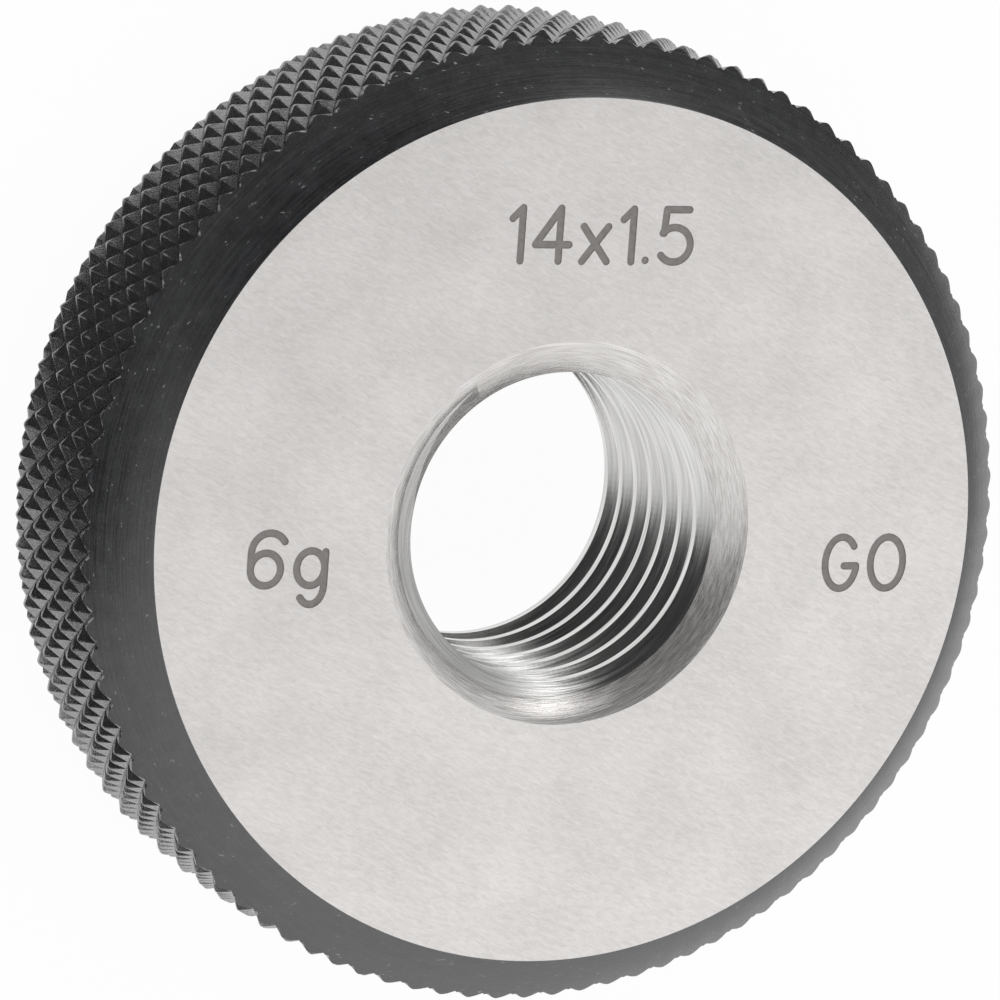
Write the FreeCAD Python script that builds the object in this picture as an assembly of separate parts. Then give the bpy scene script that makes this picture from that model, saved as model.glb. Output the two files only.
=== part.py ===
import FreeCAD, Part
import math
import os
from FreeCAD import Vector

# A go thread ring gauge for M14 x 1.5, lying on its back face.
# Millimetres. The origin is on the bore axis at the back face, +Z out of the marked face.

# Thread: nominal diameter, pitch and the gauge's allowance below nominal for tolerance class 6g
thread_d = 14.0
thread_pitch = 1.5
thread_allowance = 0.032

# Ring between its two ground faces, their diameter, and the slope of the turned chamfers
# between them and the knurled rim, measured from the bore axis
ring_w = 12.6
face_d = 34.2
chamfer_deg = 41.0

# Countersinks of the bore: diameter at each face, and the included angle of both
countersink_d = 15.2
back_countersink_d = 16.2
countersink_deg = 108.0

# Diamond knurl: diameter over the tips, depth of the grooves, tips round the rim in one row,
# and the angle between a groove and the bore axis that the rows are spaced for
knurl_d = 38.6
knurl_depth = 0.48
knurl_count = 100
knurl_deg = 30.0

# Distance of the first and last rows of tips from the chamfers, and the stock beyond
# the tips that only the chamfers cut
row_inset = 0.03
spare_stock = 1.0

# The thread's crests stand five eighths of its sharp 60 degree height inside the roots
sharp_height = math.sqrt(3.0) / 2.0 * thread_pitch
bore_r = (thread_d - thread_allowance) / 2.0 - 5.0 / 8.0 * sharp_height


def chamfer_height(radius):
    """Distance along the axis from a face to where its chamfer reaches this radius."""
    return (radius - face_d / 2.0) / math.tan(math.radians(chamfer_deg))


def sink_depth(diameter):
    """Depth of a countersink of this diameter, down to the thread's crests."""
    return (diameter / 2.0 - bore_r) / math.tan(math.radians(countersink_deg / 2.0))


def ring_blank():
    """Turned ring with its chamfers and countersinks, before knurling."""
    face_r = face_d / 2.0
    stock_r = knurl_d / 2.0 + spare_stock
    section = [
        Vector(back_countersink_d / 2.0, 0, 0),
        Vector(face_r, 0, 0),
        Vector(stock_r, 0, chamfer_height(stock_r)),
        Vector(stock_r, 0, ring_w - chamfer_height(stock_r)),
        Vector(face_r, 0, ring_w),
        Vector(countersink_d / 2.0, 0, ring_w),
        Vector(bore_r, 0, ring_w - sink_depth(countersink_d)),
        Vector(bore_r, 0, sink_depth(back_countersink_d)),
    ]
    outline = Part.makePolygon(section + section[:1])
    return Part.Face(outline).revolve(Vector(0, 0, 0), Vector(0, 0, 1), 360.0)


def knurl_rows():
    """Heights of the rows of tips: evenly spread between the chamfers, then on past the faces."""
    nominal_step = math.pi * knurl_d / knurl_count / 2.0 / math.tan(math.radians(knurl_deg))
    first = chamfer_height(knurl_d / 2.0) + row_inset
    band = ring_w - 2.0 * first
    steps = max(1, round(band / nominal_step))
    step = band / steps
    spare = math.ceil(first / step) + 1
    return [first + step * row for row in range(-spare, steps + spare + 1)]


def knurl_stock():
    """Solid bar with the diamond knurl on it, longer than the ring at both ends.

    Each row of points alternates tips with groove crossings, and the next row
    swaps them. Two flat facets fill each cell, with a groove as their shared edge.
    """
    tip_r = knurl_d / 2.0
    root_r = tip_r - knurl_depth
    columns = 2 * knurl_count
    heights = knurl_rows()

    points = []
    for row, height in enumerate(heights):
        for column in range(columns):
            radius = tip_r if (row + column) % 2 == 0 else root_r
            angle = math.pi * column / knurl_count
            points.append(Vector(radius * math.cos(angle), radius * math.sin(angle), height))

    facets = []
    for row in range(len(heights) - 1):
        for column in range(columns):
            beside = (column + 1) % columns
            low, low_next = row * columns + column, row * columns + beside
            high, high_next = low + columns, low_next + columns
            if (row + column) % 2 == 0:
                facets += [(low, low_next, high), (low_next, high_next, high)]
            else:
                facets += [(low, low_next, high_next), (low, high_next, high)]

    last = (len(heights) - 1) * columns
    bottom, top = len(points), len(points) + 1
    points += [Vector(0, 0, heights[0]), Vector(0, 0, heights[-1])]
    for column in range(columns):
        beside = (column + 1) % columns
        facets.append((bottom, beside, column))
        facets.append((top, last + column, last + beside))

    skin = Part.Shape()
    skin.makeShapeFromMesh((points, facets), 0.001)
    return Part.makeSolid(skin)


def gauge_ring():
    """The knurled bar, cut to length, chamfered, countersunk and bored by the turned ring."""
    ring = ring_blank().common(knurl_stock())
    return ring.Solids[0]


def main():
    os.makedirs("parts", exist_ok=True)
    solid = gauge_ring()
    solid.exportStep("parts/gauge_ring.step")
    box = solid.BoundBox
    print("gauge_ring", solid.ShapeType, solid.isValid(), len(solid.Faces), "faces,",
          round(solid.Volume, 1), "mm3,", round(box.XLength, 2), round(box.YLength, 2), round(box.ZLength, 2))


main()
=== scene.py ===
import math

import bmesh
import bpy
from mathutils import Matrix, Vector
from mathutils.geometry import delaunay_2d_cdt


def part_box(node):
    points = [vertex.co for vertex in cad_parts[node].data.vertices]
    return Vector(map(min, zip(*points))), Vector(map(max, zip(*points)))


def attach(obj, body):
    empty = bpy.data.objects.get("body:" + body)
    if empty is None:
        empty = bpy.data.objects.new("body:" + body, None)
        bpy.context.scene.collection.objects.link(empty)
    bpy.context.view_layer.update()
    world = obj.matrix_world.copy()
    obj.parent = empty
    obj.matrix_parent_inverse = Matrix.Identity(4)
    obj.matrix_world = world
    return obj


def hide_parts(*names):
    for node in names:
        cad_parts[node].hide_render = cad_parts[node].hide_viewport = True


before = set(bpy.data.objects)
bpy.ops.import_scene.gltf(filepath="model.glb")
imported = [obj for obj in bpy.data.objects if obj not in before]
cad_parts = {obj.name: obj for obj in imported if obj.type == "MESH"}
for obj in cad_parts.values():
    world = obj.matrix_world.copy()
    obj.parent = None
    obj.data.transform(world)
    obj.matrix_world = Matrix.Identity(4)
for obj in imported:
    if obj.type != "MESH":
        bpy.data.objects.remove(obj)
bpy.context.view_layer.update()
cadLow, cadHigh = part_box("gauge_ring")
mm = 0.001
print("frame loaded, ring", [round((b - a) / mm, 2) for a, b in zip(cadLow, cadHigh)], "mm")


# Fills a node's sockets: a socket is linked, anything else becomes the socket's own value
def fillInputs(tree, node, inputs):
    for name, value in inputs.items():
        socket = node.inputs[name]
        if isinstance(value, bpy.types.NodeSocket):
            tree.links.new(value, socket)
        else:
            socket.default_value = value


def addNode(tree, kind, inputs=None, **settings):
    node = tree.nodes.new(kind)
    for name, value in settings.items():
        setattr(node, name, value)
    fillInputs(tree, node, inputs or {})
    return node


# The same for geometry and shader trees, because both have ShaderNodeMath
def calc(tree, operation, *values):
    inputs = dict(enumerate(values))
    return addNode(tree, "ShaderNodeMath", inputs, operation=operation).outputs[0]


# Vector arithmetic: a vector, or a number where the operation gives one
def vectorCalc(tree, operation, *values, **inputs):
    inputs.update(enumerate(values))
    outputs = addNode(tree, "ShaderNodeVectorMath", inputs, operation=operation).outputs
    return outputs["Value" if operation in ("LENGTH", "DOT_PRODUCT") else "Vector"]


def combine(tree, **axes):
    return addNode(tree, "ShaderNodeCombineXYZ", axes).outputs[0]


def split(tree, vector):
    return addNode(tree, "ShaderNodeSeparateXYZ", {0: vector}).outputs


# Maps one range to another, and stays within the second
def spread(tree, value, fromLow, fromHigh, toLow, toHigh, **settings):
    return addNode(tree, "ShaderNodeMapRange", {
        "Value": value, "From Min": fromLow, "From Max": fromHigh,
        "To Min": toLow, "To Max": toHigh}, clamp=True, **settings).outputs[0]


def meshObject(name, verts, faces):
    mesh = bpy.data.meshes.new(name)
    mesh.from_pydata(verts, [], faces)
    mesh.validate()
    obj = bpy.data.objects.new(name, mesh)
    bpy.context.scene.collection.objects.link(obj)
    return obj


# A geometry tree with named inputs: (name, socket type, value)
def geometryTree(name, inputs):
    tree = bpy.data.node_groups.new(name, "GeometryNodeTree")
    tree.interface.new_socket("Geometry", in_out="OUTPUT", socket_type="NodeSocketGeometry")
    for label, kind, value in inputs:
        socket = tree.interface.new_socket(label, in_out="INPUT", socket_type=kind)
        if value is not None:
            socket.default_value = value
    return tree, tree.nodes.new("NodeGroupInput").outputs, tree.nodes.new("NodeGroupOutput").inputs


# Ends a tree in plain faces of one material, as the export needs them
def endTree(tree, geometry, finish, result):
    plain = addNode(tree, "GeometryNodeRealizeInstances", {"Geometry": geometry})
    dressed = addNode(tree, "GeometryNodeSetMaterial", {
        "Geometry": plain.outputs[0], "Material": finish})
    tree.links.new(dressed.outputs[0], result[0])


# Puts a tree on an object, with its inputs set by the sockets' identifiers
def wearTree(obj, tree, values):
    modifier = obj.modifiers.new(tree.name, "NODES")
    modifier.node_group = tree
    for item in tree.interface.items_tree:
        if item.in_out == "INPUT" and item.name in values:
            modifier[item.identifier] = values[item.name]


# Turns what the modifiers make into the object's own mesh
def keepEvaluated(obj):
    bpy.context.view_layer.update()
    evaluated = obj.evaluated_get(bpy.context.evaluated_depsgraph_get())
    mesh = bpy.data.meshes.new_from_object(evaluated)
    obj.modifiers.clear()
    obj.data = mesh


# Fitted to the rims of the faces and the bore: the lens, the sensor and the camera's place in
# millimetres, and the directions to the right and down in the photograph
view = {
    "lens": 306.0,
    "sensor": 36.0,
    "nearest": 10.0,
    "eye": (-128.013, 60.408, 310.307),
    "right": (0.92462, 0.07186, 0.37405),
    "down": (-0.00215, -0.98104, 0.19378),
}

camera = bpy.data.objects.new("camera", bpy.data.cameras.new("camera"))
bpy.context.scene.collection.objects.link(camera)
bpy.context.scene.camera = camera
camera.data.lens = view["lens"]
camera.data.sensor_width = view["sensor"]
camera.data.clip_start = view["nearest"] * mm
cameraRight = Vector(view["right"]).normalized()
cameraUp = -Vector(view["down"]).normalized()
cameraBack = cameraRight.cross(cameraUp)
camera.matrix_world = (Matrix.Translation(Vector(view["eye"]) * mm)
                       @ Matrix((cameraRight, cameraUp, cameraBack)).transposed().to_4x4())
print("camera placed")


# Sizes in millimetres, as in the part's source. The edge breaks are only here.
ring = {
    "faceDiameter": 34.2,
    "width": 12.6,
    "chamferAngle": 41.0,
    "sinkDiameter": 15.2,
    "backSinkDiameter": 16.2,
    "sinkAngle": 108.0,
    "boreRadius": 6.172,
    "edgeBreak": 0.03,     # taken off the rim of each face
    "breakEnd": (0.4, 0.8),  # where it ends on the chamfer, as shares of it outwards and down
    "lipWidth": 0.26,      # the narrow shallow bevel round the mouth of each countersink
    "lipDepth": 0.07,
    "spareStock": 1.0,
    "turnSteps": 400,
    "smoothAngle": math.radians(36),
}
faceRadius = ring["faceDiameter"] / 2
chamferSlope = math.tan(math.radians(ring["chamferAngle"]))
sinkSlope = math.tan(math.radians(ring["sinkAngle"] / 2))


# One face's half of the section, from the bore out to the stock, with depths below that face
def halfSection(sinkDiameter, stockRadius):
    mouth = sinkDiameter / 2
    lip = mouth - ring["lipWidth"]
    lipCone = (mouth - ring["boreRadius"]) / sinkSlope
    edge = ring["edgeBreak"]
    breakOut, breakDown = ring["breakEnd"]
    return [
        (ring["boreRadius"], lipCone),
        (lip, ring["lipDepth"]),
        (mouth, 0.0),
        (faceRadius - edge, 0.0),
        (faceRadius + edge * breakOut, edge * breakDown),
        (stockRadius, (stockRadius - faceRadius) / chamferSlope),
    ]


# Each strip of the section has its own finish
def turnedRing(stockRadius, finishes):
    strips = ["sink", "sink", "ground", "chamfer", "chamfer"]
    strips = strips + ["chamfer"] + strips[::-1] + ["thread"]
    back = halfSection(ring["backSinkDiameter"], stockRadius)
    front = halfSection(ring["sinkDiameter"], stockRadius)
    front = [(radius, ring["width"] - depth) for radius, depth in front]
    section = back + front[::-1]
    steps, count = ring["turnSteps"], len(section)
    verts = []
    for step in range(steps):
        angle = 2 * math.pi * step / steps
        verts += [(r * mm * math.cos(angle), r * mm * math.sin(angle), z * mm) for r, z in section]
    faces = []
    for step in range(steps):
        here, after = step * count, (step + 1) % steps * count
        for i in range(count):
            j = (i + 1) % count
            faces.append((here + i, after + i, after + j, here + j))
    body = meshObject("gauge_steel_ring", verts, faces)
    names = sorted(set(strips))
    for name in names:
        body.data.materials.append(finishes[name])
    body.data.polygons.foreach_set("material_index", [names.index(name) for name in strips] * steps)
    return body


knurl = {
    "tipDiameter": 38.6,
    "grooveDepth": 0.38,
    "tipsAround": 100,
    "rowSteps": 7,
    "rowInset": 0.03,
    "rowShift": 0.24,      # towards the marked face
    "spareRows": 4,        # beyond each chamfer, for the turned ring to cut off
    # rings of one tooth from the groove to the tip: reach from its middle, and height
    "toothRings": [(1.0, 0.0), (0.26, 0.86), (0.15, 0.95), (0.06, 0.99)],
    "ridgeBevel": 0.05,    # of a tooth's half width
    "bevelShare": 0.4,     # at most this share of a ring's reach goes to the bevel
    "flankAngle": math.radians(15),  # flanks that meet at more than this are shaded apart
    "heightSpread": 0.10,
    "frontHeight": 0.72,   # of the row beside the marked face's chamfer, against the others
    "unevenness": 0.10,    # width of the range in which a point strays
    "unevenScale": 1300.0,  # features per metre
    "sewDistance": 1e-6,   # metres
    "seed": 4,
}
tipHeight = (knurl["tipDiameter"] / 2 - faceRadius) / chamferSlope + knurl["rowInset"]
rowStep = (ring["width"] - 2 * tipHeight) / knurl["rowSteps"]
firstTip = tipHeight + knurl["rowShift"]


# A four-sided tooth over the diamond between its grooves, two units across and two high.
# Its ridges are bevelled, and the bevels run out at the groove crossings.
def toothObject():
    verts, faces = [], []
    for level, (reach, height) in enumerate(knurl["toothRings"]):
        bevel = min(knurl["ridgeBevel"], reach * knurl["bevelShare"]) if level else 0.0
        corner = [Vector((reach - bevel, -bevel, height)), Vector((reach - bevel, bevel, height))]
        for side in range(4):
            turn = Matrix.Rotation(math.radians(90 * side), 3, "Z")
            verts += [turn @ point for point in corner]
    sides = 8
    for level in range(len(knurl["toothRings"]) - 1):
        for side in range(sides):
            low, lowNext = level * sides + side, level * sides + (side + 1) % sides
            faces.append((low, lowNext, lowNext + sides, low + sides))
    faces.append(tuple(range(len(verts) - sides, len(verts))))
    return meshObject("knurlTooth", verts, faces)


# A bar with the diamond knurl: teeth on a flat lattice, wrapped round the axis and closed at
# both ends
def knurlTree():
    tree, given, result = geometryTree("diamondKnurl", [
        ("Tooth", "NodeSocketObject", None),
        ("Tips Around", "NodeSocketInt", 100),
        ("Rows", "NodeSocketInt", 12),
        ("Tip Radius", "NodeSocketFloat", 0.0193),
        ("Groove Depth", "NodeSocketFloat", 0.0005),
        ("First Row", "NodeSocketFloat", -0.001),
        ("Row Step", "NodeSocketFloat", 0.001),
        ("Height Spread", "NodeSocketFloat", 0.04),
        ("Front Row", "NodeSocketFloat", 11.0),
        ("Front Height", "NodeSocketFloat", 1.0),
        ("Unevenness", "NodeSocketFloat", 0.00004),
        ("Seed", "NodeSocketInt", 1),
        ("Finish", "NodeSocketMaterial", None),
    ])
    index = addNode(tree, "GeometryNodeInputIndex").outputs[0]
    share = calc(tree, "DIVIDE", calc(tree, "ADD", index, 0.5), given["Tips Around"])
    row = calc(tree, "FLOOR", share)
    column = calc(tree, "SUBTRACT", index, calc(tree, "MULTIPLY", row, given["Tips Around"]))
    across = calc(tree, "MULTIPLY_ADD", column, 2.0, calc(tree, "MODULO", row, 2.0))
    points = addNode(tree, "GeometryNodePoints", {
        "Count": calc(tree, "MULTIPLY", given["Tips Around"], given["Rows"]),
        "Position": combine(tree, X=across, Y=row)})
    chance = addNode(tree, "FunctionNodeRandomValue", {
        2: calc(tree, "SUBTRACT", 1.0, given["Height Spread"]), 3: 1.0, "Seed": given["Seed"]})
    beforeFront = calc(tree, "SUBTRACT", given["Front Row"], 1.0)
    lowered = spread(tree, row, beforeFront, given["Front Row"], 1.0, given["Front Height"])
    tall = calc(tree, "MULTIPLY", chance.outputs[1], lowered)
    tooth = addNode(tree, "GeometryNodeObjectInfo", {"Object": given["Tooth"]})
    teeth = addNode(tree, "GeometryNodeInstanceOnPoints", {
        "Points": points.outputs[0], "Instance": tooth.outputs["Geometry"],
        "Scale": combine(tree, X=1.0, Y=1.0, Z=tall)})
    flat = addNode(tree, "GeometryNodeRealizeInstances", {"Geometry": teeth.outputs[0]})

    # wrap: across becomes the angle, along the height, and up the radius
    across, along, up = split(tree, addNode(tree, "GeometryNodeInputPosition").outputs[0])
    angle = calc(tree, "DIVIDE", calc(tree, "MULTIPLY", across, math.pi), given["Tips Around"])
    root = calc(tree, "SUBTRACT", given["Tip Radius"], given["Groove Depth"])
    radius = calc(tree, "MULTIPLY_ADD", up, given["Groove Depth"], root)
    wrapped = combine(
        tree,
        X=calc(tree, "MULTIPLY", radius, calc(tree, "COSINE", angle)),
        Y=calc(tree, "MULTIPLY", radius, calc(tree, "SINE", angle)),
        Z=calc(tree, "MULTIPLY_ADD", along, given["Row Step"], given["First Row"]))
    stir = addNode(tree, "ShaderNodeTexNoise", {"Vector": wrapped, "Scale": knurl["unevenScale"]})
    centred = vectorCalc(tree, "SUBTRACT", stir.outputs["Color"], (0.5, 0.5, 0.5))
    rim = addNode(tree, "GeometryNodeSetPosition", {
        "Geometry": flat.outputs[0], "Position": wrapped,
        "Offset": vectorCalc(tree, "SCALE", centred, Scale=given["Unevenness"])})
    sewn = addNode(tree, "GeometryNodeMergeByDistance", {
        "Geometry": rim.outputs[0], "Distance": knurl["sewDistance"]})

    # close each end with a fan to a point on the axis
    edge = addNode(tree, "GeometryNodeInputMeshEdgeNeighbors")
    openEdge = addNode(tree, "FunctionNodeCompare", {2: edge.outputs[0], 3: 1},
                       data_type="INT", operation="EQUAL")
    fan = addNode(tree, "GeometryNodeExtrudeMesh", {
        "Mesh": sewn.outputs[0], "Selection": openEdge.outputs[0], "Offset Scale": 0.0},
        mode="EDGES")
    height = split(tree, addNode(tree, "GeometryNodeInputPosition").outputs[0])[2]
    reach = calc(tree, "MULTIPLY", given["Row Step"], given["Rows"])
    middle = calc(tree, "MULTIPLY_ADD", reach, 0.5, given["First Row"])
    upper = calc(tree, "GREATER_THAN", height, middle)
    onAxis = combine(tree, Z=calc(tree, "MULTIPLY_ADD", upper, reach, given["First Row"]))
    closed = addNode(tree, "GeometryNodeSetPosition", {
        "Geometry": fan.outputs["Mesh"], "Selection": fan.outputs["Top"], "Position": onAxis})
    whole = addNode(tree, "GeometryNodeMergeByDistance", {
        "Geometry": closed.outputs[0], "Distance": knurl["sewDistance"]})
    endTree(tree, whole.outputs[0], given["Finish"], result)
    return tree


def knurledBar(finish):
    tipRadius = knurl["tipDiameter"] / 2
    bar = meshObject("knurledBar", [], [])
    tooth = toothObject()
    wearTree(bar, knurlTree(), {
        "Tooth": tooth,
        "Tips Around": knurl["tipsAround"],
        "Rows": knurl["rowSteps"] + 1 + 2 * knurl["spareRows"],
        "Tip Radius": tipRadius * mm,
        "Groove Depth": knurl["grooveDepth"] * mm,
        "First Row": (firstTip - knurl["spareRows"] * rowStep) * mm,
        "Row Step": rowStep * mm,
        "Height Spread": knurl["heightSpread"],
        "Front Row": float(knurl["spareRows"] + knurl["rowSteps"]),
        "Front Height": knurl["frontHeight"],
        "Unevenness": knurl["unevenness"] * mm,
        "Seed": knurl["seed"],
        "Finish": finish,
    })
    keepEvaluated(bar)
    bpy.data.objects.remove(tooth)
    return bar


thread = {
    "majorRadius": 6.984,
    "pitch": 1.5,
    "rootShare": 8.0,      # the flat at the groove's bottom is the pitch divided by this
    "flankAngle": math.radians(30),
    "inside": 0.25,        # how far the cutter stands inside the bore
    "stepsPerTurn": 160,
    "spareTurns": 1,       # beyond each face
    "startAngle": 205.0,   # puts the run-out where the camera doesn't see it
}


# The groove between the crests: a trapezoid swept along a right-hand helix
def threadTree():
    tree, given, result = geometryTree("threadGroove", [
        ("Inner Radius", "NodeSocketFloat", 0.006),
        ("Major Radius", "NodeSocketFloat", 0.007),
        ("Pitch", "NodeSocketFloat", 0.0015),
        ("Turns", "NodeSocketFloat", 10.0),
        ("Steps per Turn", "NodeSocketInt", 160),
        ("Finish", "NodeSocketMaterial", None),
    ])
    depth = calc(tree, "SUBTRACT", given["Major Radius"], given["Inner Radius"])
    rootFlat = calc(tree, "DIVIDE", given["Pitch"], thread["rootShare"])
    mouth = calc(tree, "MULTIPLY_ADD", depth, 2 * math.tan(thread["flankAngle"]), rootFlat)
    middle = calc(tree, "MULTIPLY_ADD", depth, 0.5, given["Inner Radius"])
    path = addNode(tree, "GeometryNodeCurveSpiral", {
        "Resolution": given["Steps per Turn"], "Rotations": given["Turns"],
        "Start Radius": middle, "End Radius": middle,
        "Height": calc(tree, "MULTIPLY", given["Pitch"], given["Turns"])})
    steady = addNode(tree, "GeometryNodeSetCurveNormal", {"Curve": path.outputs[0]}, mode="Z_UP")
    profile = addNode(tree, "GeometryNodeCurvePrimitiveQuadrilateral", {
        "Bottom Width": mouth, "Top Width": rootFlat, "Offset": 0.0, "Height": depth},
        mode="TRAPEZOID")
    turned = addNode(tree, "GeometryNodeTransform", {
        "Geometry": profile.outputs[0], "Rotation": (0.0, 0.0, math.radians(90))})
    swept = addNode(tree, "GeometryNodeCurveToMesh", {
        "Curve": steady.outputs[0], "Profile Curve": turned.outputs[0], "Fill Caps": True})
    endTree(tree, swept.outputs[0], given["Finish"], result)
    return tree


def threadCutter(finish):
    turns = math.ceil(ring["width"] / thread["pitch"]) + 2 * thread["spareTurns"]
    cutter = meshObject("threadCutter", [], [])
    wearTree(cutter, threadTree(), {
        "Inner Radius": (ring["boreRadius"] - thread["inside"]) * mm,
        "Major Radius": thread["majorRadius"] * mm,
        "Pitch": thread["pitch"] * mm,
        "Turns": float(turns),
        "Steps per Turn": thread["stepsPerTurn"],
        "Finish": finish,
    })
    keepEvaluated(cutter)
    start = Matrix.Translation((0, 0, -thread["spareTurns"] * thread["pitch"] * mm))
    cutter.data.transform(start @ Matrix.Rotation(math.radians(thread["startAngle"]), 4, "Z"))
    return cutter


def cutWith(obj, operation, cutter):
    modifier = obj.modifiers.new(operation, "BOOLEAN")
    modifier.operation = operation
    modifier.object = cutter
    modifier.solver = "MANIFOLD"
    modifier.material_mode = "TRANSFER"


# Crisp shading where one finish meets another, and round every flank of the knurl
def sharpenBorders(mesh):
    rim = mesh.materials.find("blackKnurl")
    work = bmesh.new()
    work.from_mesh(mesh)
    for edge in work.edges:
        finishes = {face.material_index for face in edge.link_faces}
        if len(finishes) > 1 or finishes == {rim} and edge.calc_face_angle(0) > knurl["flankAngle"]:
            edge.smooth = False
    work.to_mesh(mesh)
    work.free()


# The turned ring within the knurled bar, less the thread's groove and the marking
def buildRing(finishes):
    bar = knurledBar(finishes["knurl"])
    print("knurled bar,", len(bar.data.polygons), "faces")
    groove = threadCutter(finishes["thread"])
    print("thread cutter,", len(groove.data.polygons), "faces")
    marks = markCutter(finishes["mark"])
    body = turnedRing(knurl["tipDiameter"] / 2 + ring["spareStock"], finishes)
    cutWith(body, "INTERSECT", bar)
    cutWith(body, "DIFFERENCE", groove)
    cutWith(body, "DIFFERENCE", marks)
    keepEvaluated(body)
    for cutter in (bar, groove, marks):
        bpy.data.objects.remove(cutter)
    mesh = body.data
    mesh.polygons.foreach_set("use_smooth", [True] * len(mesh.polygons))
    mesh.set_sharp_from_angle(angle=ring["smoothAngle"])
    sharpenBorders(mesh)
    print("ring built,", len(mesh.polygons), "faces")
    return body


# Cut shallow in the marked face with a round-ended tool: only the thread's size and class, and the
# word for a go gauge. Millimetres, but letter shapes in units of their height.
marking = {
    "strokeWidth": 0.30,
    "depth": 0.035,
    "height": 2.06,
    "arcSteps": 14,        # in half a turn
    "capSteps": 10,
    "spareHeight": 0.2,    # of the cutter above the face
    "joinDistance": 1e-5,
    "lines": [("14x1.5", -3.30, 10.70), ("6g", -13.10, -2.00), ("GO", 11.03, -2.25)],
}


# Points along part of an ellipse, from one angle to another in degrees
def arc(x, y, radiusX, radiusY, start, end):
    count = max(3, round(marking["arcSteps"] * abs(end - start) / 180))
    angles = [math.radians(start + (end - start) * i / count) for i in range(count + 1)]
    return [(x + radiusX * math.cos(a), y + radiusY * math.sin(a)) for a in angles]


# Each letter: its strokes, and how far the next one stands
def letterStrokes(letter):
    bowl = (0.30, 0.31)
    shapes = {
        "1": ([[(0.0, 0.80), (0.20, 1.0), (0.20, 0.0)]], 0.49),
        "4": ([[(0.68, 0.31), (0.0, 0.31), (0.48, 1.0), (0.48, 0.0)]], 0.96),
        "x": ([[(0.0, 0.0), (0.50, 0.66)], [(0.0, 0.66), (0.50, 0.0)]], 0.80),
        ".": ([[(0.0, 0.03), (0.0, 0.031)]], 0.30),
        "5": ([[(0.54, 1.0), (0.08, 1.0), (0.05, 0.55)]
               + arc(0.27, 0.33, 0.33, 0.33, 138, -142)], 0.90),
        "6": ([arc(0.36, 0.62, 0.36, 0.38, 35, 180) + [(0.0, 0.31)],
               arc(*bowl, *bowl, 0, 360)], 0.92),
        "g": ([arc(0.28, 0.33, 0.28, 0.33, 0, 360),
               [(0.56, 0.64)] + arc(0.30, 0.0, 0.26, 0.36, 0, -140)], 0.85),
        "G": ([arc(0.33, 0.50, 0.33, 0.50, 40, 345) + [(0.65, 0.44), (0.40, 0.44)]], 0.95),
        "O": ([arc(0.34, 0.50, 0.34, 0.50, 0, 360)], 0.95),
    }
    return shapes[letter]


# A rectangle with round ends round one straight piece of a stroke
def roundedPiece(start, end, radius):
    heading = math.atan2(end[1] - start[1], end[0] - start[0])
    outline = []
    for (x, y), turn in ((end, -90), (start, 90)):
        for i in range(marking["capSteps"] + 1):
            angle = heading + math.radians(turn + 180 * i / marking["capSteps"])
            outline.append(Vector((x + radius * math.cos(angle), y + radius * math.sin(angle))))
    return outline


def markPieces():
    pieces = []
    height = marking["height"]
    for text, left, base in marking["lines"]:
        for letter in text:
            strokes, advance = letterStrokes(letter)
            for stroke in strokes:
                placed = [(left + x * height, base + y * height) for x, y in stroke]
                for start, end in zip(placed, placed[1:]):
                    pieces.append(roundedPiece(start, end, marking["strokeWidth"] / 2))
            left += advance * height
    return pieces


# One solid of all the strokes: where pieces overlap, their outlines are joined first
def markCutter(finish):
    corners, faces = [], []
    for piece in markPieces():
        faces.append(list(range(len(corners), len(corners) + len(piece))))
        corners += piece
    joined = delaunay_2d_cdt(corners, [], faces, 1, marking["joinDistance"])
    points, triangles, sources = joined[0], joined[2], joined[5]
    inside = [triangle for triangle, source in zip(triangles, sources) if source]
    top = ring["width"] + marking["spareHeight"]
    cutter = meshObject("markCutter", [(p.x * mm, p.y * mm, top * mm) for p in points], inside)
    solid = bmesh.new()
    solid.from_mesh(cutter.data)
    loose = [vert for vert in solid.verts if not vert.link_faces]
    bmesh.ops.delete(solid, geom=loose, context="VERTS")
    drop = Vector((0, 0, -(marking["spareHeight"] + marking["depth"]) * mm))
    extruded = bmesh.ops.extrude_face_region(solid, geom=solid.faces[:], use_keep_orig=True)
    lower = [item for item in extruded["geom"] if isinstance(item, bmesh.types.BMVert)]
    bmesh.ops.translate(solid, vec=drop, verts=lower)
    bmesh.ops.recalc_face_normals(solid, faces=solid.faces[:])
    solid.to_mesh(cutter.data)
    solid.free()
    cutter.data.materials.append(finish)
    return cutter


def newMaterial(name):
    material = bpy.data.materials.new(name)
    material.use_nodes = True
    material.node_tree.nodes.clear()
    return material, material.node_tree


def finishMaterial(tree, inputs):
    shader = addNode(tree, "ShaderNodeBsdfPrincipled", inputs)
    addNode(tree, "ShaderNodeOutputMaterial", {"Surface": shader.outputs[0]})


# Where a place is on the ring, in millimetres: the point, its distance from the axis, its height
# and its direction from the axis
def ringPlace(tree):
    here = addNode(tree, "ShaderNodeTexCoord").outputs["Object"]
    point = vectorCalc(tree, "SCALE", here, Scale=1 / mm)
    x, y, height = split(tree, point)
    flat = combine(tree, X=x, Y=y)
    return {"point": point, "radius": vectorCalc(tree, "LENGTH", flat), "height": height,
            "heading": vectorCalc(tree, "NORMALIZE", flat)}


def noise(tree, where, scale, detail=2.0, roughness=0.5, distortion=0.0):
    return addNode(tree, "ShaderNodeTexNoise", {
        "Vector": where, "Scale": scale, "Detail": detail,
        "Roughness": roughness, "Distortion": distortion}).outputs["Fac"]


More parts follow.
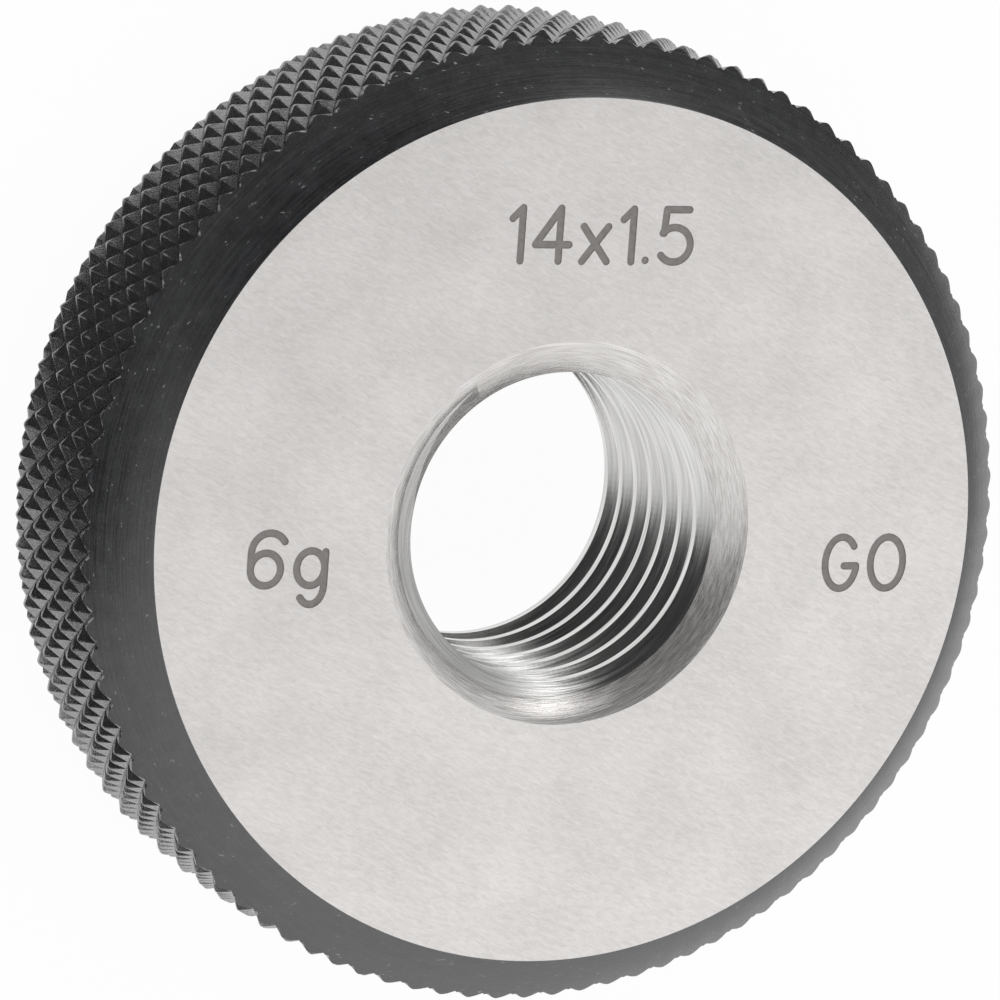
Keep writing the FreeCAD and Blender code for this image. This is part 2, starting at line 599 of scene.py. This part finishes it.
# Noise that runs round the axis like a tool's turning lines: fine across, long along
def turnedLines(tree, place, across, along, detail):
    section = combine(
        tree,
        X=calc(tree, "MULTIPLY", place["radius"], across),
        Z=calc(tree, "MULTIPLY", place["height"], across))
    around = vectorCalc(tree, "SCALE", place["heading"], Scale=along)
    return noise(tree, vectorCalc(tree, "ADD", around, section), 1.0, detail)


# A weighted mean of two values, where this share of it is the first
def mixed(tree, first, second, share):
    return calc(tree, "MULTIPLY_ADD", first, share, calc(tree, "MULTIPLY", second, 1 - share))


# From a low to a high value over the middle of a noise, where most of it lies
def overNoise(tree, value, low, high):
    return spread(tree, value, 0.3, 0.7, low, high)


# One colour where the amount is 0, another where it is 1
def blend(tree, amount, first, second):
    node = addNode(tree, "ShaderNodeMix", {0: amount}, data_type="RGBA")
    fillInputs(tree, node, {6: first, 7: second})
    return node.outputs[2]


def bump(tree, height, strength, distance):
    return addNode(tree, "ShaderNodeBump", {
        "Height": height, "Strength": strength, "Distance": distance}).outputs[0]


# In the finishes, a noise is given by its scale, detail, roughness and distortion, and turning
# lines by their fineness across and along and their detail. A range is the stretch of a noise over
# which one look turns to the other. Relief is the strength and the height in metres of the bumps.
groundSteel = {
    "dark": (0.68, 0.66, 0.645, 1),
    "light": (0.90, 0.875, 0.86, 1),
    "fleckTurn": math.radians(-24),
    "fleckSize": (0.42, 0.14, 1.0),
    "flecks": (1.0, 4.0, 0.65, 0.7),
    "cloud": (0.30, 3.0),
    "cloudShare": 0.25,
    "toneRange": (0.35, 0.65),
    "roughness": (0.32, 0.44),
    "relief": (0.25, 2e-5),
}


# Bright ground faces: short grinding flecks, all one way
def makeGroundSteel():
    material, tree = newMaterial("groundSteel")
    place = ringPlace(tree)
    grain = addNode(tree, "ShaderNodeMapping", {
        "Vector": place["point"], "Rotation": (0, 0, groundSteel["fleckTurn"]),
        "Scale": groundSteel["fleckSize"]}, vector_type="TEXTURE")
    flecks = noise(tree, grain.outputs[0], *groundSteel["flecks"])
    cloud = noise(tree, place["point"], *groundSteel["cloud"])
    tone = spread(tree, mixed(tree, cloud, flecks, groundSteel["cloudShare"]),
                  *groundSteel["toneRange"], 0, 1)
    finishMaterial(tree, {
        "Base Color": blend(tree, tone, groundSteel["dark"], groundSteel["light"]),
        "Metallic": 1.0,
        "Roughness": overNoise(tree, flecks, *groundSteel["roughness"]),
        "Normal": bump(tree, flecks, *groundSteel["relief"]),
    })
    return material


blackOxide = {
    "tone": (0.008, 0.0085, 0.010, 1),
    # grey of bare steel: worn oxide, also painted on the knurl's ridges as a highlight
    "wornAndSheen": (0.30, 0.30, 0.30, 1),
}
blackTurned = {
    "faded": (0.036, 0.037, 0.040, 1),
    "density": 2.06,       # index of refraction of the oxide's skin
    "lines": (14.0, 6.0, 4.0),
    "grain": (8.0, 3.0, 0.6),
    "lineShare": 0.6,
    "patches": (1.6, 4.0, 0.6),
    "patchShare": 0.3,
    "fadeRange": (0.42, 0.66),
    "specks": (9.0, 90.0, 2.0),
    "speckThinning": (0.5, 0.6, 0.9, 1),  # fewer specks outside the faded patches
    "speckRange": (0.66, 0.72),
    "speckShine": 0.8,
    "roughness": (0.22, 0.32),
    "relief": (0.55, 1.4e-5),
}


# Blackened chamfers: faint turning lines, faded patches and a few bright specks
def makeBlackTurned():
    material, tree = newMaterial("blackTurned")
    place = ringPlace(tree)
    lines = turnedLines(tree, place, *blackTurned["lines"])
    patches = noise(tree, place["point"], *blackTurned["patches"])
    specks = calc(tree, "MULTIPLY", turnedLines(tree, place, *blackTurned["specks"]),
                  spread(tree, patches, *blackTurned["speckThinning"]))
    specks = spread(tree, specks, *blackTurned["speckRange"], 0, blackTurned["speckShine"])
    grain = noise(tree, place["point"], *blackTurned["grain"])
    streaks = mixed(tree, lines, grain, blackTurned["lineShare"])
    fade = spread(tree, mixed(tree, patches, streaks, blackTurned["patchShare"]),
                  *blackTurned["fadeRange"], 0, 1)
    tone = blend(tree, fade, blackOxide["tone"], blackTurned["faded"])
    finishMaterial(tree, {
        "Base Color": blend(tree, specks, tone, blackOxide["wornAndSheen"]),
        "Roughness": overNoise(tree, lines, *blackTurned["roughness"]),
        "IOR": blackTurned["density"],
        "Normal": bump(tree, streaks, *blackTurned["relief"]),
    })
    return material


blackKnurl = {
    "faded": (0.022, 0.0225, 0.024, 1),
    "density": 3.3,
    "grit": (8.0, 4.0, 0.7),
    "blotch": (2.5, 3.0, 0.6),
    "fadeRange": (0.42, 0.70),
    "wearAndSheenHeights": (0.08, 0.30),  # millimetres above the grooves, from no wear and painted highlight to full
    "wearAndSheenRange": (0.40, 0.62),
    "leastWearAndSheen": 0.1,
    "ridgeWidth": 0.08,    # of a tooth's half width
    "waver": 2.2,
    "waverReach": 0.12,    # of a tooth's half width
    "burrWidth": 0.16,     # millimetres inside the chamfer's cone
    "burrTone": (0.42, 0.42, 0.42, 1),
    "ragged": (2.6, 3.0, 0.6),
    "raggedRange": (0.49, 0.56),
    "roughness": (0.15, 0.32),
    "shineRange": (0.36, 0.62),
    "shine": (0.62, 0.32),
    "relief": (0.7, 2.2e-5),
}


# How near a place on the rim is to a ridge of the teeth, which all lie on whole steps
# round the axis and along it: 1 on a ridge and 0 away from it
def ridges(tree, place):
    x, y, _ = split(tree, place["heading"])
    across = calc(tree, "MULTIPLY", calc(tree, "ARCTAN2", y, x), knurl["tipsAround"] / math.pi)
    along = calc(tree, "DIVIDE", calc(tree, "SUBTRACT", place["height"], firstTip), rowStep)
    reach = blackKnurl["waverReach"]
    waver = calc(tree, "MULTIPLY_ADD", noise(tree, place["point"], blackKnurl["waver"]),
                 2 * reach, -reach)
    lines = []
    for steps in (across, along):
        off = calc(tree, "PINGPONG", calc(tree, "ADD", steps, waver), 0.5)
        lines.append(spread(tree, off, 0.0, blackKnurl["ridgeWidth"], 1, 0))
    return calc(tree, "MAXIMUM", *lines)


# The edge beside each chamfer, where the burr of the knurl was turned bright here and there
def burrs(tree, place):
    middle = ring["width"] / 2
    fromMiddle = calc(tree, "ABSOLUTE", calc(tree, "SUBTRACT", place["height"], middle))
    cone = calc(tree, "MULTIPLY_ADD", calc(tree, "SUBTRACT", middle, fromMiddle),
                chamferSlope, faceRadius)
    inset = calc(tree, "SUBTRACT", cone, place["radius"])
    ragged = noise(tree, place["point"], *blackKnurl["ragged"])
    return calc(tree, "MULTIPLY", spread(tree, inset, 0.0, blackKnurl["burrWidth"], 1, 0),
                spread(tree, ragged, *blackKnurl["raggedRange"], 0, 1))


# Blackened knurl: grainy flanks, and lighter ridges, partly wear and partly a painted highlight
def makeBlackKnurl():
    material, tree = newMaterial("blackKnurl")
    place = ringPlace(tree)
    grit = noise(tree, place["point"], *blackKnurl["grit"])
    blotch = noise(tree, place["point"], *blackKnurl["blotch"])
    rootRadius = knurl["tipDiameter"] / 2 - knurl["grooveDepth"]
    unworn, wornAndSheen = blackKnurl["wearAndSheenHeights"]
    high = spread(tree, place["radius"], rootRadius + unworn, rootRadius + wornAndSheen, 0, 1)
    wearAndSheen = calc(tree, "MULTIPLY", calc(tree, "MULTIPLY", ridges(tree, place), high),
                spread(tree, blotch, *blackKnurl["wearAndSheenRange"], blackKnurl["leastWearAndSheen"], 1))
    tone = blend(tree, spread(tree, blotch, *blackKnurl["fadeRange"], 0, 1),
                 blackOxide["tone"], blackKnurl["faded"])
    # lighter ridges: worn oxide and a painted highlight
    tone = blend(tree, wearAndSheen, tone, blackOxide["wornAndSheen"])
    finishMaterial(tree, {
        "Base Color": blend(tree, burrs(tree, place), tone, blackKnurl["burrTone"]),
        "Roughness": overNoise(tree, grit, *blackKnurl["roughness"]),
        "IOR": blackKnurl["density"],
        "Specular IOR Level": spread(tree, grit, *blackKnurl["shineRange"], *blackKnurl["shine"]),
        "Normal": bump(tree, grit, *blackKnurl["relief"]),
    })
    return material


turnedSteel = {
    "toneRange": (0.35, 0.65),
    "stretch": 0.4,
    "relief": (0.4, 2e-5),
    "sinkSteel": {
        "dark": (0.56, 0.54, 0.525, 1),
        "light": (0.84, 0.82, 0.805, 1),
        "metallic": 0.8,
        "lines": (22.0, 11.0, 4.0),
        "roughness": (0.20, 0.34),
    },
    "threadSteel": {
        "dark": (0.56, 0.555, 0.55, 1),
        "light": (0.78, 0.775, 0.765, 1),
        "metallic": 1.0,
        "lines": (9.0, 1.6, 4.0),
        "roughness": (0.16, 0.26),
    },
}


# Bright turned steel, its reflections drawn out across the turning lines
def makeTurnedSteel(name):
    look = turnedSteel[name]
    material, tree = newMaterial(name)
    lines = turnedLines(tree, ringPlace(tree), *look["lines"])
    tone = spread(tree, lines, *turnedSteel["toneRange"], 0, 1)
    around = addNode(tree, "ShaderNodeTangent", direction_type="RADIAL", axis="Z")
    finishMaterial(tree, {
        "Base Color": blend(tree, tone, look["dark"], look["light"]),
        "Metallic": look["metallic"],
        "Roughness": overNoise(tree, lines, *look["roughness"]),
        "Anisotropic": turnedSteel["stretch"],
        "Tangent": around.outputs[0],
        "Normal": bump(tree, lines, *turnedSteel["relief"]),
    })
    return material


markGrey = {
    "dark": (0.15, 0.14, 0.135, 1),
    "light": (0.28, 0.265, 0.255, 1),
    "mottle": (6.0, 3.0),
    "roughness": 0.6,
    "relief": (0.3, 1e-5),
}


# Floor of the marking: dull grey, a little uneven
def makeMarkGrey():
    material, tree = newMaterial("markGrey")
    mottle = noise(tree, ringPlace(tree)["point"], *markGrey["mottle"])
    finishMaterial(tree, {
        "Base Color": blend(tree, mottle, markGrey["dark"], markGrey["light"]),
        "Roughness": markGrey["roughness"],
        "Normal": bump(tree, mottle, *markGrey["relief"]),
    })
    return material


finishes = {
    "ground": makeGroundSteel(),
    "chamfer": makeBlackTurned(),
    "knurl": makeBlackKnurl(),
    "sink": makeTurnedSteel("sinkSteel"),
    "thread": makeTurnedSteel("threadSteel"),
    "mark": makeMarkGrey(),
}
body = buildRing(finishes)
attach(body, "root")
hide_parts("gauge_ring")
print("ring dressed")


# Metres. The lit side, above and left are directions from the ring, and their reach is from the
# cosine where each begins to the one where it is whole.
studio = {
    "floorReach": 2.0,
    "floorDrop": 1e-5,
    "floorTone": (0.9, 0.9, 0.9, 1),
    "floorGlow": 0.96,     # share of the floor's white that a shadow doesn't reach
    "ambient": 0.9,        # the surround's light on plain surfaces
    "flagRadius": 0.30,
    "flagLift": 5e-5,
    "flagSteps": 48,
    "flagRise": 12,
    "holeRadius": 0.0342,
    "holePlace": (0.013, -0.005),
    "lit": (0.166, -0.621, 0.766),
    "litReach": (-0.30, 0.95),
    "litFrom": (0.03, 0.05),  # the lit side begins this far from the ring; nearer, the flag paints shade
    "unlit": 0.18,         # brightness of the studio's far side, as bright metal shows it
    "nearShade": 0.35,     # share of that brightness beside the ring: the ring's painted shadow on the floor, as reflections show it
    "nearReach": (0.03, 0.10),  # how far the painted shadow goes from the ring
    "above": (-0.224, 0.480, 0.848),
    "aboveReach": (0.72, 0.84),
    "left": (-1.0, 0.0, 0.0),
    "leftReach": (0.78, 0.95),
    "dark": 0.045,
    "keyPower": 0.10,
    "keySize": 0.075,
    "keyFrom": (0.130, 0.244, 0.180),
}
white = (1, 1, 1, 1)


# Strength 1 for what the camera, glossy or clear surfaces see, so the white shows as white
def seenDirectly(tree):
    path = addNode(tree, "ShaderNodeLightPath").outputs
    seen = calc(tree, "MAXIMUM", path["Is Camera Ray"], path["Is Glossy Ray"])
    return calc(tree, "MAXIMUM", seen, path["Is Transmission Ray"])


def makeFloor():
    reach, level = studio["floorReach"], -studio["floorDrop"]
    corners = [(-reach, -reach, level), (reach, -reach, level),
               (reach, reach, level), (-reach, reach, level)]
    floor = meshObject("floor", corners, [(0, 1, 2, 3)])
    material, tree = newMaterial("paleFloor")
    paint = addNode(tree, "ShaderNodeBsdfDiffuse", {"Color": studio["floorTone"]})
    glow = addNode(tree, "ShaderNodeEmission", {"Color": white, "Strength": 1.0})
    amount = calc(tree, "MULTIPLY", seenDirectly(tree), studio["floorGlow"])
    surface = addNode(tree, "ShaderNodeMixShader", {
        0: amount, 1: paint.outputs[0], 2: glow.outputs[0]})
    addNode(tree, "ShaderNodeOutputMaterial", {"Surface": surface.outputs[0]})
    floor.data.materials.append(material)


def makeSurround():
    world = bpy.data.worlds.new("studio")
    bpy.context.scene.world = world
    world.use_nodes = True
    tree = world.node_tree
    tree.nodes.clear()
    strength = calc(tree, "MAXIMUM", seenDirectly(tree), studio["ambient"])
    light = addNode(tree, "ShaderNodeBackground", {"Color": white, "Strength": strength})
    addNode(tree, "ShaderNodeOutputWorld", {"Surface": light.outputs[0]})


# 0 away from one side of the studio to 1 towards it
def facing(tree, heading, side):
    cosine = vectorCalc(tree, "DOT_PRODUCT", heading, Vector(studio[side]).normalized())
    return spread(tree, cosine, *studio[side + "Reach"], 0, 1, interpolation_type="SMOOTHSTEP")


# A floor sheet with a hole for the ring, and a dome over it
def flagSheet():
    radius, hole, lift = studio["flagRadius"], studio["holeRadius"], studio["flagLift"]
    steps, rise = studio["flagSteps"], studio["flagRise"]
    holeX, holeY = studio["holePlace"]
    slopes = [math.pi / 2 * i / rise for i in range(rise)]
    dome = [(radius * math.cos(slope), radius * math.sin(slope) + lift) for slope in slopes]
    verts = []
    for step in range(steps):
        angle = 2 * math.pi * step / steps
        x, y = math.cos(angle), math.sin(angle)
        verts.append((holeX + hole * x, holeY + hole * y, lift))
        verts += [(r * x, r * y, z) for r, z in dome]
    verts.append((0, 0, radius))
    faces = []
    for step in range(steps):
        here, after = step * (rise + 1), (step + 1) % steps * (rise + 1)
        faces += [(here + i, after + i, after + i + 1, here + i + 1) for i in range(rise)]
        faces.append((here + rise, after + rise, len(verts) - 1))
    return meshObject("flag", verts, faces)


# A glowing grey flag round the ring that only reflections show: painted reflections of a studio's
# lit and shaded sides. It is clear on the lit side, dim on the other, and dark above and left.
def makeFlag():
    flag = flagSheet()
    for kind in ("camera", "diffuse", "transmission", "volume_scatter", "shadow"):
        setattr(flag, "visible_" + kind, False)
    material, tree = newMaterial("paintedReflectionShade")
    here = addNode(tree, "ShaderNodeTexCoord").outputs["Object"]
    away, heading = vectorCalc(tree, "LENGTH", here), vectorCalc(tree, "NORMALIZE", here)
    # the lit side fades out near the ring: painted shade beside it
    lit = calc(tree, "MULTIPLY", facing(tree, heading, "lit"),
               spread(tree, away, *studio["litFrom"], 0, 1))
    dark = calc(tree, "MAXIMUM", facing(tree, heading, "above"), facing(tree, heading, "left"))
    # dimmer beside the ring: its painted shadow on the floor, as reflections show it
    shade = spread(tree, away, *studio["nearReach"], studio["nearShade"], 1)
    unlit = calc(tree, "MULTIPLY", shade, studio["unlit"])
    glow = spread(tree, dark, 0, 1, unlit, studio["dark"])
    cover = calc(tree, "MAXIMUM", calc(tree, "SUBTRACT", 1.0, lit), dark)
    # the flag's painted shade: a dim glow that only reflections show
    shadeGlow = addNode(tree, "ShaderNodeEmission", {"Color": white, "Strength": glow})
    clear = addNode(tree, "ShaderNodeBsdfTransparent")
    surface = addNode(tree, "ShaderNodeMixShader", {
        0: cover, 1: clear.outputs[0], 2: shadeGlow.outputs[0]})
    addNode(tree, "ShaderNodeOutputMaterial", {"Surface": surface.outputs[0]})
    flag.data.materials.append(material)


def makeKeyLamp():
    lamp = bpy.data.objects.new("keyLamp", bpy.data.lights.new("keyLamp", "AREA"))
    bpy.context.scene.collection.objects.link(lamp)
    lamp.data.energy = studio["keyPower"]
    lamp.data.size = studio["keySize"]
    lamp.location = studio["keyFrom"]
    lamp.rotation_euler = Vector(studio["keyFrom"]).to_track_quat("Z", "Y").to_euler()


makeFloor()
makeSurround()
makeFlag()
makeKeyLamp()
bpy.context.scene.view_settings.view_transform = "Standard"
print("studio lit")
